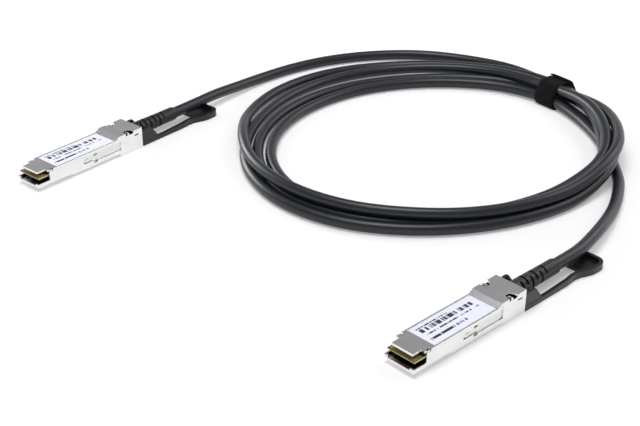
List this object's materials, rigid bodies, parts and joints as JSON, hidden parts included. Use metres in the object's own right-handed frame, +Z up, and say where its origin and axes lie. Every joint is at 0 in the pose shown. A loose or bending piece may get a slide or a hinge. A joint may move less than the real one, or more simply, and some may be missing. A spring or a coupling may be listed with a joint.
{
  "type": "direct attach copper cable",
  "caption": "Passive copper cable with a flat pluggable module and a pull-tab latch at each end, wound into a loose flat coil and held by a strap.",
  "frame": {"origin": "middle of the footprint of the two modules with their pull tabs, on the surface that they lie on", "axes": "+X along the near module from its nose to its cable, +Y from the near module to the far one, +Z up"},
  "size_m": [0.3252, 0.3027, 0.0197],
  "materials": {
    "plated_shell": "nickel-plated die casting, satin",
    "latch_steel": "stamped stainless strip",
    "spring_steel": "bright wire",
    "circuit_board": "green laminate with pale raw edges",
    "contact_gold": "gold plate",
    "chip_black": "moulded epoxy",
    "pair_shield": "foil wrap",
    "potting": "hot melt",
    "crimp_metal": "plated, pressed",
    "cable_jacket": "smooth satin jacket",
    "boot_black": "moulded, satin",
    "tab_black": "moulded, satin",
    "label_film": "printed film",
    "tie_fabric": "hook and loop tape"
  },
  "bodies": {
    "cable_assembly": {"near_base_shell": "plated_shell", "near_cover_shell": "plated_shell", "near_paddle_card": "circuit_board", "near_contact_pads": "contact_gold", "near_memory_chip": "chip_black", "near_twinax_pairs": "pair_shield", "near_potting_block": "potting", "near_crimp_ferrule": "crimp_metal", "near_cable_root": "cable_jacket", "near_strain_relief": "boot_black", "near_spring_left": "spring_steel", "near_spring_right": "spring_steel", "near_label": "label_film", "far_base_shell": "plated_shell", "far_cover_shell": "plated_shell", "far_paddle_card": "circuit_board", "far_contact_pads": "contact_gold", "far_memory_chip": "chip_black", "far_twinax_pairs": "pair_shield", "far_potting_block": "potting", "far_crimp_ferrule": "crimp_metal", "far_cable_root": "cable_jacket", "far_strain_relief": "boot_black", "far_spring_left": "spring_steel", "far_spring_right": "spring_steel", "far_label": "label_film", "cable_near_tail": "cable_jacket", "cable_far_tail": "cable_jacket", "cable_coil": "cable_jacket", "cable_tie": "tie_fabric"},
    "near_latch": {"near_latch_left": "latch_steel", "near_latch_right": "latch_steel", "near_pull_tab": "tab_black"},
    "far_latch": {"far_latch_left": "latch_steel", "far_latch_right": "latch_steel", "far_pull_tab": "tab_black"}
  },
  "joints": [
    {"name": "near_latch_slide", "type": "slide", "parent": "cable_assembly", "child": "near_latch", "axis": [1, 0, 0], "range_m": [0, 0.0026], "stiffness_N_per_m": 500, "springref_m": -0.003, "deforming": ["near_spring_left", "near_spring_right"]},
    {"name": "far_latch_slide", "type": "slide", "parent": "cable_assembly", "child": "far_latch", "axis": [0.9952, 0.0976, 0], "range_m": [0, 0.0026], "stiffness_N_per_m": 500, "springref_m": -0.003, "deforming": ["far_spring_left", "far_spring_right"]}
  ]
}
